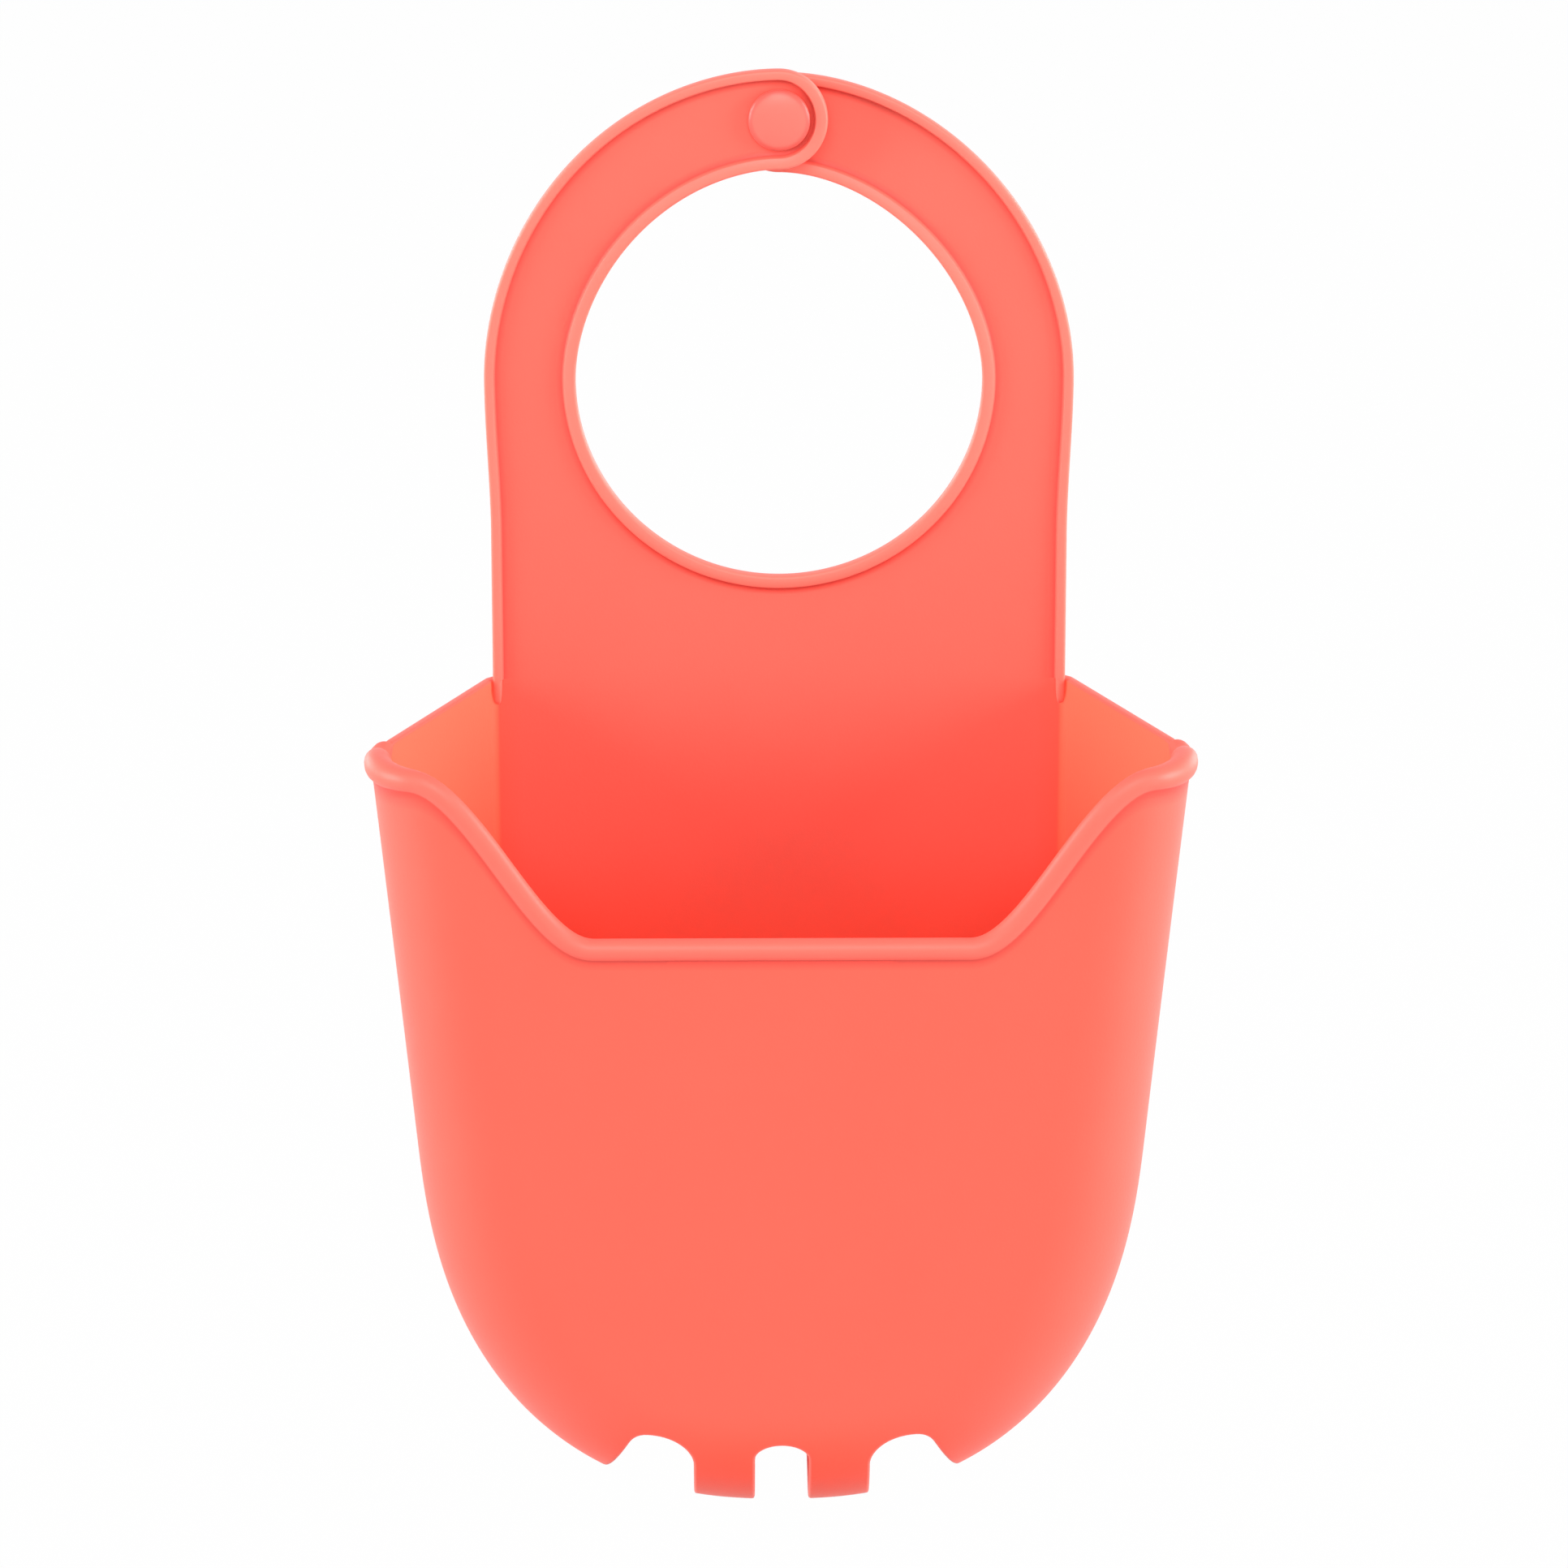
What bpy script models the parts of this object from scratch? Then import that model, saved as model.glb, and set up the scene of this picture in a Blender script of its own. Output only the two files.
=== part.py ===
"""Sink drain bag: a soft moulded pocket with drain slots, hung from a flat panel with a split ring.

Frame: metres, +Z up, the front faces -Y. The origin is the centre of the ring's hole, on the flat back.
The soft moulding is modelled as four bodies that meet at its flex lines: the pocket, the hanger panel
and the two straps that close the ring. A four-piece press stud joins the straps where they overlap.
"""
import math

import bmesh
import bpy
import numpy as np
from mathutils import Matrix

# Moulding
web_thickness = 0.0015
bead_thickness = 0.0025
outer_bead_width = 0.0015
hole_bead_width = 0.0019
bead_draft = 0.0003
clearance = 0.0003

# Ring and straps
hole_radius = 0.0319
hole_rise = 0.0340
ring_half_width = 0.0463
ring_rise = 0.0497
ring_exponent = 1.88
hole_exponent = 1.84
tip_reach = 0.0076
right_strap_drop = 0.0014
lap_start_share = 1.1

# Hanger panel
panel_inset = 0.0010
shoulder_drop = 0.0250
rim_drop = 0.0489
fold_height = 0.0040
bead_tail = 0.0030

# Pocket
pocket_height = 0.1236
pocket_depth = 0.0560
back_half_width = 0.0465
front_half_width = 0.0613
wall = 0.0015
corner_radius = 0.0200
floor_radius = 0.0170
belly_height = 0.0605
side_taper_share = 0.083
belly_drop_exponent = 2.6
belly_width_exponent = 2.5

# Front rim
rim_bead_radius = 0.00175
rim_corner_setback = 0.0050
bead_end_share = 0.55
scoop_drop = 0.0276
scoop_margin = 0.0068
scoop_run = 0.0265
corner_dip = 0.0011
corner_dip_run = 0.0070

# Drain slots
centre_slot_width = 0.0084
centre_slot_rise = 0.0144
centre_slot_crown = 0.0025
rib_width = 0.0096
outer_slot_rise = 0.0161
outer_slot_apex = 0.0073
outer_slot_climb = 0.0056
outer_slot_crown_radius = 0.0030
outer_slot_fall = math.radians(63)
slot_back_margin = 0.0070
slot_end_length = 0.0043

# Press stud
cap_radius = 0.0048
cap_rise = 0.0017
cap_edge = 0.0006
post_radius = 0.0009
post_grip = 0.0004
socket_radius = 0.0042
socket_thickness = 0.0016
socket_base = 0.0006
stud_radius = 0.0038
stud_flange = 0.0006
bulb_radius = 0.0020

# Construction
overrun = 0.0040
round_steps = 6
hole_steps = 48
strap_steps = 26
tip_steps = 9
belly_steps = 15
corner_steps = 7
knuckle_turn = math.radians(75)
smooth_angle = math.radians(35)
scoop_steps = 14
turned_steps = 32

coral = (1.0, 0.165, 0.115, 1.0)
coral_stud = (1.0, 0.235, 0.185, 1.0)

# Places that follow from the sizes above
web_middle = -web_thickness / 2
web_front = -web_thickness
panel_half_width = back_half_width - panel_inset
bead_front = -bead_thickness
rim_z = -rim_drop
floor_z = rim_z - pocket_height
belly_z = floor_z + belly_height
fold_z = rim_z + fold_height
web_relief = web_thickness / 2 + clearance
bead_relief = bead_thickness - web_thickness / 2 + clearance
side_depth = pocket_depth - corner_radius
floor_depth = pocket_depth - floor_radius
scoop_end = front_half_width - scoop_margin
scoop_flat_half_width = scoop_end - scoop_run
snap_z = (ring_rise + hole_rise) / 2
post_hole_radius = post_radius + clearance
cavity_radius = bulb_radius + clearance
stud_stack = socket_thickness + stud_flange + 3 * clearance
lap_offset = (web_thickness + stud_stack) / 2


def smoothstep(value):
    """The curve 3t^2 - 2t^3 from 0 to 1, level at both ends."""
    share = np.clip(value, 0.0, 1.0)
    return share * share * (3 - 2 * share)


def start_scene():
    """Remove every object, and make the collections for the parts and for the cutters."""
    for item in list(bpy.data.objects):
        bpy.data.objects.remove(item, do_unlink=True)
    for name in ("sink_drain_bag", "cutters"):
        collection = bpy.data.collections.new(name)
        bpy.context.scene.collection.children.link(collection)


def add_object(name, mesh, collection="sink_drain_bag"):
    item = bpy.data.objects.new(name, mesh)
    bpy.data.collections[collection].objects.link(item)
    if collection == "cutters":
        item.hide_render = True
        item.display_type = "WIRE"
    return item


def give_material(item, colour, roughness):
    finish = bpy.data.materials.new(item.name)
    finish.use_nodes = True
    shader = finish.node_tree.nodes["Principled BSDF"]
    shader.inputs["Base Color"].default_value = colour
    shader.inputs["Roughness"].default_value = roughness
    item.data.materials.clear()
    item.data.materials.append(finish)
    item.data.shade_smooth()
    item.data.set_sharp_from_angle(angle=smooth_angle)


def loft(name, rings, pinched=False):
    """A closed solid through rings of equally many points, with a flat face on each end.

    A pinched loft's last ring is folded flat, so its points meet in pairs and need no end face.
    """
    shape = bmesh.new()
    rows = [[shape.verts.new(point) for point in ring] for ring in rings]
    for low, high in zip(rows, rows[1:]):
        for index, corner in enumerate(low):
            before = index - 1
            shape.faces.new((low[before], corner, high[index], high[before]))
    shape.faces.new(rows[0])
    if pinched:
        bmesh.ops.remove_doubles(shape, verts=shape.verts, dist=clearance / 1000)
    else:
        shape.faces.new(rows[-1])
    bmesh.ops.recalc_face_normals(shape, faces=shape.faces)
    mesh = bpy.data.meshes.new(name)
    shape.to_mesh(mesh)
    shape.free()
    return mesh


def curve_to_mesh(curve):
    """The welded mesh of a curve object, which is then removed."""
    holder = bpy.data.objects.new("outline", curve)
    bpy.context.scene.collection.objects.link(holder)
    bpy.context.view_layer.update()
    seen = holder.evaluated_get(bpy.context.evaluated_depsgraph_get())
    mesh = bpy.data.meshes.new_from_object(seen)
    bpy.data.objects.remove(holder, do_unlink=True)
    bpy.data.curves.remove(curve)
    shape = bmesh.new()
    shape.from_mesh(mesh)
    bmesh.ops.remove_doubles(shape, verts=shape.verts, dist=clearance / 100)
    bmesh.ops.recalc_face_normals(shape, faces=shape.faces)
    shape.to_mesh(mesh)
    shape.free()
    return mesh


def poly_spline(curve, points, closed):
    spline = curve.splines.new("POLY")
    spline.points.add(len(points) - 1)
    for target, point in zip(spline.points, points):
        target.co = (*point, 1)
    spline.use_cyclic_u = closed
    return spline


def prism(outline, low, high, upright):
    """A flat outline carried from low to high: along Z if upright, and otherwise along Y."""
    curve = bpy.data.curves.new("outline", "CURVE")
    curve.dimensions = "2D"
    curve.fill_mode = "BOTH"
    curve.extrude = (high - low) / 2
    poly_spline(curve, [(x, v, 0) for x, v in outline], closed=True)
    mesh = curve_to_mesh(curve)
    middle = (low + high) / 2
    if upright:
        mesh.transform(Matrix.Translation((0, 0, middle)))
    else:
        mesh.transform(Matrix.Translation((0, middle, 0)) @ Matrix.Rotation(math.pi / 2, 4, "X"))
    return mesh


def box(name, low, high):
    """A cutter that fills the box between two corners."""
    shape = bmesh.new()
    bmesh.ops.create_cube(shape, size=1)
    size = [far - near for near, far in zip(low, high)]
    middle = [(near + far) / 2 for near, far in zip(low, high)]
    shape.transform(Matrix.LocRotScale(middle, None, size))
    mesh = bpy.data.meshes.new(name)
    shape.to_mesh(mesh)
    shape.free()
    return add_object(name, mesh, "cutters")


def boolean(item, tool, operation="DIFFERENCE"):
    step = item.modifiers.new(tool.name, "BOOLEAN")
    step.operation = operation
    step.solver = "EXACT"
    step.object = tool


def move_origin(item, place):
    """Put the object's origin at a place, and leave its shape where it is."""
    item.data.transform(Matrix.Translation([-value for value in place]))
    item.location = place


def ring_curve(half_width, rise, exponent, angles):
    """Points of one of the ring's upper edges: a superellipse slightly more pointed than an ellipse."""
    power = 2 / exponent
    return np.column_stack((half_width * np.cos(angles) ** power, rise * np.sin(angles) ** power))


def angle_at(rise, exponent, height):
    """The angle at which a ring edge that rises this far reaches a height."""
    return math.asin((height / rise) ** (exponent / 2))


def strap_rows(drop, first_height):
    """Rows of XZ points along the right-hand strap, from a height near its root to its tip.

    The rows are the outer edge, the recess's outer and inner lines, and the hole's edge. The last
    value is the share of the lap offset that each station has. Round the tip, each row is half of an
    ellipse about the press stud's centre line, and the rows meet in pairs at its end.
    """
    outer_rise = ring_rise - drop
    inner_rise = hole_rise - drop
    start = angle_at(inner_rise, hole_exponent, first_height)
    angles = np.linspace(start, math.pi / 2, strap_steps)
    outer = ring_curve(ring_half_width, outer_rise, ring_exponent, angles)
    hole = ring_curve(hole_radius, inner_rise, hole_exponent, angles)
    across = (hole - outer) / np.linalg.norm(hole - outer, axis=1)[:, None]
    recess_outer = outer + across * outer_bead_width
    recess_inner = hole - across * hole_bead_width
    turns = np.linspace(0, math.pi / 2, tip_steps)[1:]
    middle = (outer_rise + inner_rise) / 2
    half_band = (outer_rise - inner_rise) / 2

    def round_end(reach, half_height):
        return np.column_stack((-reach * np.sin(turns), middle + half_height * np.cos(turns)))

    recess_reach = tip_reach - hole_bead_width
    rows = (
        np.vstack((outer, round_end(tip_reach, half_band))),
        np.vstack((recess_outer, round_end(recess_reach, half_band - outer_bead_width))),
        np.vstack((recess_inner, round_end(recess_reach, hole_bead_width - half_band))),
        np.vstack((hole, round_end(tip_reach, -half_band))),
    )
    lap = smoothstep(lap_start_share * (1 - rows[0][:, 0] / ring_half_width))
    return rows, lap


def strap_ring(stations, heights, side):
    """One ring round a strap: its flat back, and its front with a bead along each edge.

    The stations are the outer edge, the recess's two lines and the hole's edge, and the heights are
    the depths of the back, the recessed web and the bead.
    """
    outer, recess_outer, recess_inner, hole = stations
    back, web, bead = heights
    across = (recess_inner - recess_outer) / max(np.linalg.norm(recess_inner - recess_outer), bead_draft)
    top_outer = recess_outer - across * bead_draft
    top_inner = recess_inner + across * bead_draft
    corners = ((outer, back), (hole, back), (hole, bead), (top_inner, bead), (recess_inner, web),
               (recess_outer, web), (top_outer, bead), (outer, bead))
    return [(side * point[0], depth, point[1]) for point, depth in corners]


def make_strap(name, side, drop, offset):
    """A strap from its rounded root at the flex line to its round tip.

    It leaves the panel's plane along its length, forwards or backwards, by the lap offset, so that
    the two webs lie parallel on either side of the press stud.
    """
    rows, lap = strap_rows(drop, web_relief + bead_draft)
    edges = (ring_half_width, ring_half_width - outer_bead_width, hole_radius + hole_bead_width,
             hole_radius)
    rings = []
    for turn in np.linspace(knuckle_turn, 0, round_steps):
        half = web_thickness / 2 * math.cos(turn)
        below = -web_thickness / 2 * math.sin(turn)
        root = [np.array((edge, below)) for edge in edges]
        rings.append(strap_ring(root, (web_middle + half, web_middle - half, web_middle - half), side))
    relief = [np.array((edge, web_relief)) for edge in edges]
    rings.append(strap_ring(relief, (0, web_front, web_front), side))
    for move, *stations in zip(offset * lap, *rows):
        rings.append(strap_ring(stations, (move, move + web_front, move + bead_front), side))
    strap = add_object(name, loft(name, rings, pinched=True))

    bore = turned(name + "_post_hole", [(0, overrun), (post_hole_radius, overrun),
                                        (post_hole_radius, -overrun), (0, -overrun)], False, "cutters")
    bore.location = (0, offset, snap_z)
    bore.rotation_euler.x = math.pi / 2
    boolean(strap, bore)
    move_origin(strap, (0, web_middle, 0))
    give_material(strap, coral, 0.45)
    return strap


def turned(name, profile, closed=False, collection="sink_drain_bag"):
    """A solid of revolution about Z from (radius, height) points that run down its outer side."""
    mesh = bpy.data.meshes.new(name)
    count = len(profile)
    edges = [(index, index + 1) for index in range(count - 1)]
    if closed:
        edges.append((count - 1, 0))
    mesh.from_pydata([(radius, 0, height) for radius, height in profile], edges, [])
    item = add_object(name, mesh, collection)
    spin = item.modifiers.new("turn", "SCREW")
    spin.steps = turned_steps
    spin.render_steps = turned_steps
    spin.use_merge_vertices = True
    spin.merge_threshold = clearance / 100
    return item


def panel_half_width_at(z):
    """Half the panel's width at a height: it widens at the shoulder to meet the ring."""
    return panel_half_width + (ring_half_width - panel_half_width) * smoothstep(1 + z / shoulder_drop)


def panel_outline(low, high, side_inset, hole_inset):
    """The panel between two heights, with the lower half of the hole let into its top edge."""
    heights = np.linspace(low, high, round_steps + 4)
    right = np.column_stack((panel_half_width_at(heights) - side_inset, heights))
    radius = hole_radius + hole_inset
    start = math.asin(min(high, 0) / radius)
    turns = np.linspace(start, -math.pi - start, hole_steps)
    arc = np.column_stack((radius * np.cos(turns), radius * np.sin(turns)))
    if high > 0:
        arc = np.vstack(((radius, high), arc, (-radius, high)))
    left = right[::-1] * (-1, 1)
    return np.vstack((right, arc, left))


def make_panel():
    """The flat hanger panel, with a bead along each side and round the hole on its front."""
    low = fold_z + web_relief
    high = -web_relief
    panel = add_object("hanger_panel", prism(panel_outline(low, high, 0, 0), bead_front, 0, False))
    recess = prism(panel_outline(low - overrun, overrun, outer_bead_width, hole_bead_width),
                   bead_front - overrun, web_front, False)
    boolean(panel, add_object("panel_recess", recess, "cutters"))
    reach = ring_half_width + overrun
    front = bead_front - overrun
    boolean(panel, box("panel_fold_relief", (-reach, front, low - overrun),
                       (reach, web_front, fold_z + bead_relief)))
    boolean(panel, box("panel_strap_relief", (-reach, front, -bead_relief), (reach, web_front, overrun)))
    give_material(panel, coral, 0.45)
    return panel


def pocket_ring(y, side_inset, bottom_inset, top):
    """The pocket's U-shaped outline at one depth, closed across its top.

    The sides run straight down and slightly inwards. Below them the width follows
    (1 - u^2.6)^(1/2.5), where u is the share of the belly's height, to a level bottom.
    """
    turns = np.linspace(0, math.pi / 2, belly_steps)
    bottom = floor_z + bottom_inset
    drops = (belly_z - bottom) * np.sin(turns) ** (2 / belly_drop_exponent)
    narrow = np.maximum(np.cos(turns), 0) ** (2 / belly_width_exponent)
    heights = np.concatenate(([top, (top + belly_z) / 2], belly_z - drops))
    narrow = np.concatenate(([1, 1], narrow))
    below = np.maximum(rim_z - heights, 0)
    front = front_half_width - side_taper_share * below
    width = back_half_width + (front - back_half_width) * (-y / side_depth)
    half = (width - side_inset) * narrow
    right = np.column_stack((half, np.full_like(half, y), heights))
    left = right[:-1][::-1] * (-1, 1, 1)
    return np.vstack((right, left))


def pocket_block(name, inset, top):
    """The pocket's outer form, or its hollow where inset is the wall: a loft from back to front.

    The front edges are rounded by letting the outline shrink along a quarter circle: the sides by
    the corner radius and the bottom by the floor radius.
    """
    slope = (front_half_width - back_half_width) / side_depth
    side_wall = inset * math.hypot(1, slope)
    corner = corner_radius - inset
    fillet = floor_radius - inset
    middle_depths = np.linspace(inset, side_depth, 4)
    turns = np.linspace(0, math.pi / 2, corner_steps)[1:]
    rings = []
    for depth in np.concatenate((middle_depths, side_depth + corner * np.sin(turns))):
        corner_share = np.clip((depth - side_depth) / corner, 0, 1)
        fillet_share = np.clip((depth - floor_depth) / fillet, 0, 1)
        side_inset = side_wall + corner * (1 - math.sqrt(1 - corner_share ** 2))
        bottom_inset = inset + fillet * (1 - math.sqrt(1 - fillet_share ** 2))
        rings.append(pocket_ring(-depth, side_inset, bottom_inset, top))
    return loft(name, rings)


def scoop_height(x):
    """Height of the front rim: a slight dip past each corner, then a smooth step down to its flat middle."""
    dip = corner_dip * smoothstep((scoop_end + corner_dip_run - np.abs(x)) / corner_dip_run)
    step = (scoop_drop - corner_dip) * smoothstep((scoop_end - np.abs(x)) / scoop_run)
    return rim_z - dip - step


def scoop_span():
    """X of the scoop's outline points, from its right end to its left end."""
    dip = np.linspace(scoop_end + corner_dip_run, scoop_end, round_steps)[:-1]
    step = np.linspace(scoop_end, scoop_flat_half_width, scoop_steps)
    right = np.concatenate((dip, step))
    return np.concatenate((right, -right[::-1]))


def make_rim_bead():
    """The round bead on the front rim: it starts at one front corner and ends at the other."""
    slope = (front_half_width - back_half_width) / side_depth
    middle_wall = wall / 2
    corner = corner_radius - middle_wall
    first = math.asin(rim_corner_setback / corner)
    turns = np.linspace(first, math.pi / 2, corner_steps)
    depth = side_depth + corner * np.sin(turns)
    side_inset = middle_wall * math.hypot(1, slope) + corner * (1 - np.cos(turns))
    across = back_half_width + slope * depth - side_inset
    round_corner = np.column_stack((across, -depth, scoop_height(across)))
    x = scoop_span()
    x = x[np.abs(x) < across[-1]]
    front = np.column_stack((x, np.full_like(x, -depth[-1]), scoop_height(x)))
    path = np.vstack((round_corner, front, round_corner[::-1] * (-1, 1, 1)))
    curve = bpy.data.curves.new("rim_bead", "CURVE")
    curve.dimensions = "3D"
    curve.bevel_depth = rim_bead_radius
    curve.bevel_resolution = 3
    curve.use_fill_caps = True
    spline = poly_spline(curve, path, closed=False)
    for end in (0, -1):
        spline.points[end].radius = bead_end_share
    return add_object("rim_bead", curve_to_mesh(curve), "cutters")


def arch(top, bottom):
    """The centre slot's outline: upright sides under half an ellipse."""
    half_width = centre_slot_width / 2
    turns = np.linspace(0, math.pi, 2 * round_steps + 1)
    crown = np.column_stack((half_width * np.cos(turns), top - centre_slot_crown * (1 - np.sin(turns))))
    return np.vstack(((half_width, bottom), crown, (-half_width, bottom)))


def shoulder_arch(inner, top, bottom, side):
    """An outer slot's outline: it climbs along an ellipse, turns over a round crown and falls straight."""
    apex = inner + outer_slot_apex
    turns = np.linspace(0, math.pi / 2, round_steps + 1)
    climb = np.column_stack((apex - outer_slot_apex * np.cos(turns),
                             top - outer_slot_climb * (1 - np.sin(turns))))
    turns = np.linspace(0, outer_slot_fall, round_steps)[1:]
    crown = np.column_stack((apex + outer_slot_crown_radius * np.sin(turns),
                             top - outer_slot_crown_radius * (1 - np.cos(turns))))
    foot = crown[-1, 0] + (crown[-1, 1] - bottom) / math.tan(outer_slot_fall)
    return np.vstack(((inner, bottom), climb, crown, (foot, bottom))) * (side, 1)


def slot_block(name, outline, middle):
    """A slot's cutter: its outline carried back from the front wall along the floor.

    Its back end is rounded: the outline shrinks towards the slot's middle along a quarter of an ellipse.
    """
    start = slot_back_margin + slot_end_length
    turns = np.linspace(0, knuckle_turn, round_steps)
    depths = np.concatenate(((pocket_depth + overrun, floor_depth), start - slot_end_length * np.sin(turns)))
    widths = np.concatenate(((1, 1), np.cos(turns)))
    rings = [np.column_stack((middle + (outline[:, 0] - middle) * width,
                              np.full(len(outline), -depth), outline[:, 1]))
             for depth, width in zip(depths, widths)]
    return add_object(name, loft(name, rings), "cutters")


def cut_slots(pocket):
    """Three slots that start in the foot of the front wall and run back along the floor."""
    low = floor_z - overrun
    inner = centre_slot_width / 2 + rib_width
    boolean(pocket, slot_block("centre_slot", arch(floor_z + centre_slot_rise, low), 0))
    for name, side in (("left_slot", -1), ("right_slot", 1)):
        outline = shoulder_arch(inner, floor_z + outer_slot_rise, low, side)
        boolean(pocket, slot_block(name, outline, side * (inner + outer_slot_apex)))


def make_stub():
    """The strip of the panel that rises from the pocket's back wall to the fold's rounded edge."""
    half = panel_half_width
    radius = web_thickness / 2
    rings = [[(-half, 0, height), (half, 0, height), (half, web_front, height), (-half, web_front, height)]
             for height in (rim_z - bead_tail, fold_z)]
    for turn in np.linspace(0, knuckle_turn, round_steps)[1:]:
        height = fold_z + radius * math.sin(turn)
        back = web_middle + radius * math.cos(turn)
        front = web_middle - radius * math.cos(turn)
        rings.append([(-half, back, height), (half, back, height), (half, front, height),
                      (-half, front, height)])
    return add_object("pocket_stub", loft("pocket_stub", rings), "cutters")


def make_pocket():
    """The pocket: a shell with an open top, a scooped and beaded front rim, and slots in its floor."""
    pocket = add_object("pocket", pocket_block("pocket", 0, rim_z))
    hollow = pocket_block("pocket_hollow", wall, rim_z + overrun)
    boolean(pocket, add_object("pocket_hollow", hollow, "cutters"))
    x = scoop_span()
    top = rim_z + overrun
    outline = np.vstack(((x[0], top), np.column_stack((x, scoop_height(x))), (x[-1], top)))
    scoop = prism(outline, -pocket_depth - overrun, -side_depth, False)
    boolean(pocket, add_object("rim_scoop", scoop, "cutters"))
    cut_slots(pocket)
    boolean(pocket, make_stub(), "UNION")
    boolean(pocket, make_rim_bead(), "UNION")
    near = panel_half_width - outer_bead_width
    tails = (("tail", panel_half_width, rim_z - clearance, fold_z - web_relief),
             ("tail_end", back_half_width, rim_z - bead_tail, rim_z - wall))
    for name, far, low, high in tails:
        for side_name, side in (("left_", -1), ("right_", 1)):
            across = sorted((side * near, side * far))
            tail = box(side_name + name, (across[0], bead_front, low), (across[1], web_middle, high))
            boolean(pocket, tail, "UNION")
    move_origin(pocket, (0, web_middle, fold_z))
    give_material(pocket, coral, 0.45)
    return pocket


def cap_profile():
    """A domed cap on a post: the dome is half an ellipse above its edge."""
    turns = np.linspace(math.pi / 2, 0, round_steps + 1)
    dome = [(cap_radius * math.cos(turn), cap_edge + (cap_rise - cap_edge) * math.sin(turn))
            for turn in turns]
    dome[0] = (0, cap_rise)
    post_length = web_thickness + 2 * clearance + post_grip
    return dome + [(cap_radius, 0), (post_radius, 0), (post_radius, -post_length), (0, -post_length)]


def make_press_stud(left_strap, right_strap):
    """The four turned pieces of the press stud, on one axis through both strap ends."""
    socket = [(post_hole_radius, socket_thickness), (socket_radius, socket_thickness),
              (socket_radius, 0), (cavity_radius, 0),
              (cavity_radius, socket_thickness - socket_base),
              (post_hole_radius, socket_thickness - socket_base)]
    bulb_rise = stud_flange + socket_thickness - socket_base - clearance
    stud = [(post_hole_radius, bulb_rise), (bulb_radius, bulb_rise), (bulb_radius, stud_flange),
            (stud_radius, stud_flange), (stud_radius, 0), (post_hole_radius, 0)]
    left_back = -lap_offset
    right_back = lap_offset
    seats = (
        ("snap_cap", cap_profile(), False, left_back + web_front - clearance, 1, left_strap),
        ("snap_socket", socket, True, left_back + clearance + socket_thickness, 1, left_strap),
        ("snap_stud", stud, True, right_back + web_front - clearance, 1, right_strap),
        ("snap_back_cap", cap_profile(), False, right_back + clearance, -1, right_strap),
    )
    for name, profile, closed, y, facing, strap in seats:
        piece = turned(name, profile, closed)
        piece.location = (0, y, snap_z)
        piece.rotation_euler.x = facing * math.pi / 2
        piece.parent = strap
        piece.matrix_parent_inverse = Matrix.Translation(strap.location).inverted()
        give_material(piece, coral_stud, 0.35)


start_scene()
make_pocket()
make_panel()
left = make_strap("left_strap", -1, 0, -lap_offset)
right = make_strap("right_strap", 1, right_strap_drop, lap_offset)
make_press_stud(left, right)
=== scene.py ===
"""Sink drain bag, dressed: soft moulded skins, a press stud, coral rubber, and a pale studio.

Frame: metres, +Z up, the front faces -Y. The origin is the centre of the ring's hole, on the flat back.
"""
import math

import bmesh
import bpy
import numpy as np
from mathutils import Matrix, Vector


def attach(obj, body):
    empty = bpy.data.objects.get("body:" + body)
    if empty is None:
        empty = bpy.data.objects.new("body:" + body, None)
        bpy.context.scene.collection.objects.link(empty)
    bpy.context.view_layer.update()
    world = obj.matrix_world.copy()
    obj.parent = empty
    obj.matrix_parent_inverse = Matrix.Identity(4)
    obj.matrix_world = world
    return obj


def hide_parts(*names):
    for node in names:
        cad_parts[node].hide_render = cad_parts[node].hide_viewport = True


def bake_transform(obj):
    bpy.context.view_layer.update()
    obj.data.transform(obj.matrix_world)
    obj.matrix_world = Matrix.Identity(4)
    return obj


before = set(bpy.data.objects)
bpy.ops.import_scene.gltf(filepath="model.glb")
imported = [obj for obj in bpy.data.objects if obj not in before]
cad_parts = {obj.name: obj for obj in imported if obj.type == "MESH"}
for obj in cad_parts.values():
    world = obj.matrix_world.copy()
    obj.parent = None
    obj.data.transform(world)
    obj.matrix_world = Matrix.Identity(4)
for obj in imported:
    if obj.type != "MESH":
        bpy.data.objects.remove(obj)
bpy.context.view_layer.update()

# Moulding
web = 0.0015
bead_thickness = 0.0025
side_bead_width = 0.0015
hole_bead_width = 0.0019
bead_fall = 0.0004
bead_fall_inside_share = 0.25
bead_squareness = 0.7
edge_round = 0.0005
crease_width = 0.0010
lip_reach = 0.0005
lip_squareness = 0.75

# Ring and straps
hole_radius = 0.0319
hole_rise = 0.0340
ring_half_width = 0.0463
ring_rise = 0.0497
ring_exponent = 1.94
hole_exponent = 1.84
tip_reach = 0.0076
right_strap_drop = 0.0014
lap_offset = 0.0023
lap_quickness = 1.1

# Hanger panel
panel_half_width = 0.0455
shoulder_drop = 0.0250
rim_z = -0.0489
bead_tail = 0.0042
bead_tail_core = 0.4

# Pocket
floor_z = -0.1725
belly_z = -0.1120
pocket_depth = 0.0560
back_half_width = 0.0465
front_half_width = 0.0613
wall = 0.0015
corner_radius = 0.0200
floor_radius = 0.0170
back_round = 0.0010
side_taper_share = 0.083
belly_drop_exponent = 2.6
belly_width_exponent = 2.4
side_depth = pocket_depth - corner_radius
floor_depth = pocket_depth - floor_radius
side_slope = (front_half_width - back_half_width) / side_depth

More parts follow.
